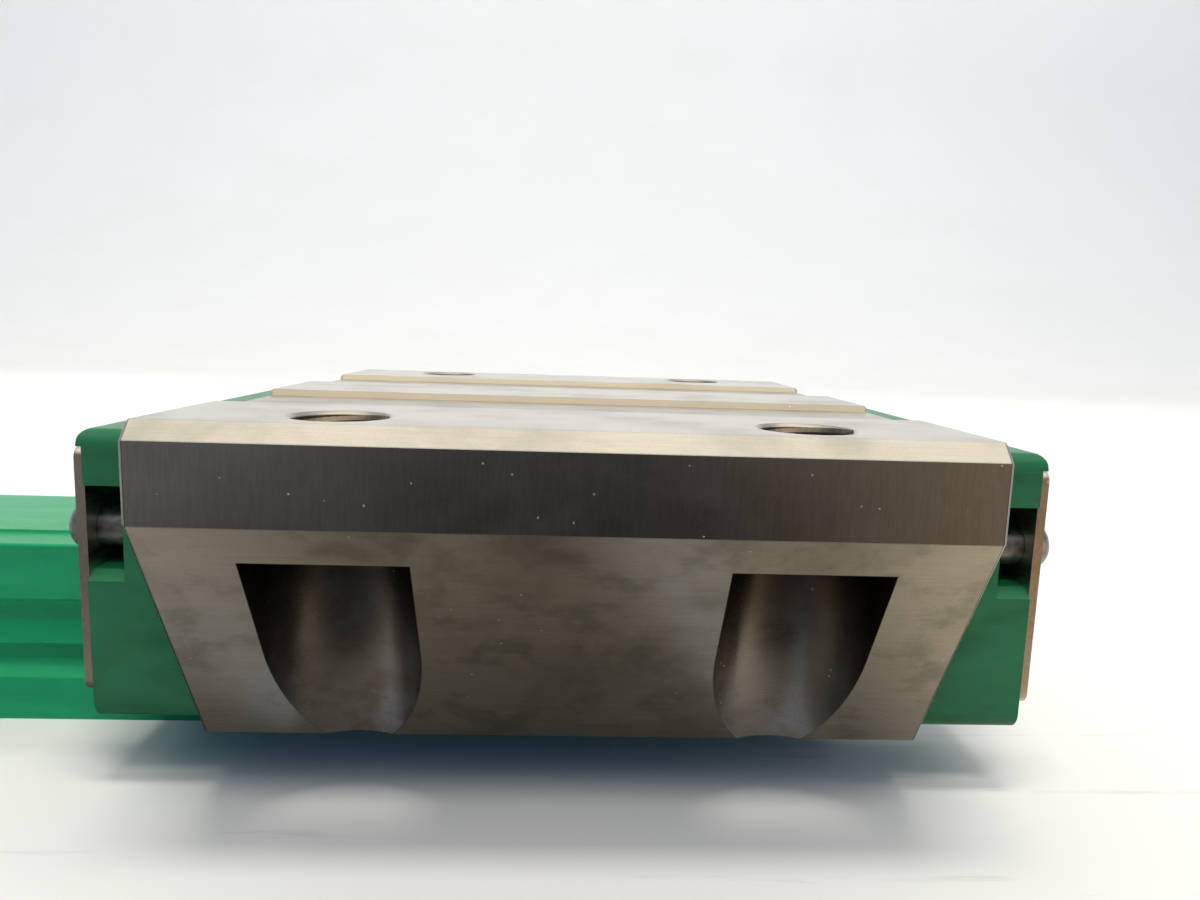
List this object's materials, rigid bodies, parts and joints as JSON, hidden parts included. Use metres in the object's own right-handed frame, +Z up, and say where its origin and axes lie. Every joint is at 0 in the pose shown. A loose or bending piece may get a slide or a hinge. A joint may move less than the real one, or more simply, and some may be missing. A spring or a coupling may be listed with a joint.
{
  "type": "linear guide carriage",
  "caption": "Low flanged linear guide carriage with recirculating balls, which slides along a ribbed plastic transport rail.",
  "frame": {"origin": "centre of the carriage's top mounting face", "axes": "+X along the rail towards the end where the carriage stands, +Y across the rail, +Z up out of the top mounting face"},
  "size_m": [0.1172, 0.073, 0.033],
  "materials": {
    "ground_steel": "ground and oiled, fine lines along the rail",
    "green_plastic": "satin moulded",
    "rail_plastic": "satin extruded",
    "dark_plastic": "satin moulded",
    "natural_plastic": "satin extruded",
    "seal_rubber": "matt",
    "sheet_steel": "rolled sheet",
    "screw_steel": "zinc plated",
    "ball_steel": "polished"
  },
  "bodies": {
    "transport_rail": {"transport_rail": "rail_plastic"},
    "carriage": {"saddle_plate": "ground_steel", "head_piece_left": "green_plastic", "head_piece_right": "green_plastic", "return_guides_left": "dark_plastic", "return_guides_right": "dark_plastic", "return_tube_upper_near": "natural_plastic", "return_tube_upper_far": "natural_plastic", "return_tube_lower_near": "natural_plastic", "return_tube_lower_far": "natural_plastic", "balls_upper_near": "ball_steel", "balls_upper_far": "ball_steel", "balls_lower_near": "ball_steel", "balls_lower_far": "ball_steel", "ball_retainer_near": "dark_plastic", "ball_retainer_far": "dark_plastic", "upper_seal_near": "seal_rubber", "upper_seal_far": "seal_rubber", "lower_seal_near": "seal_rubber", "lower_seal_far": "seal_rubber", "end_wiper_left": "seal_rubber", "end_wiper_right": "seal_rubber", "end_plate_left": "sheet_steel", "end_plate_right": "sheet_steel", "end_screws_left": "screw_steel", "end_screws_right": "screw_steel", "lube_plug_left": "screw_steel", "lube_plug_right": "screw_steel"}
  },
  "joints": [
    {"name": "carriage_slide", "type": "slide", "parent": "transport_rail", "child": "carriage", "axis": [1, 0, 0], "range_m": [-0.032, 0.071]}
  ]
}
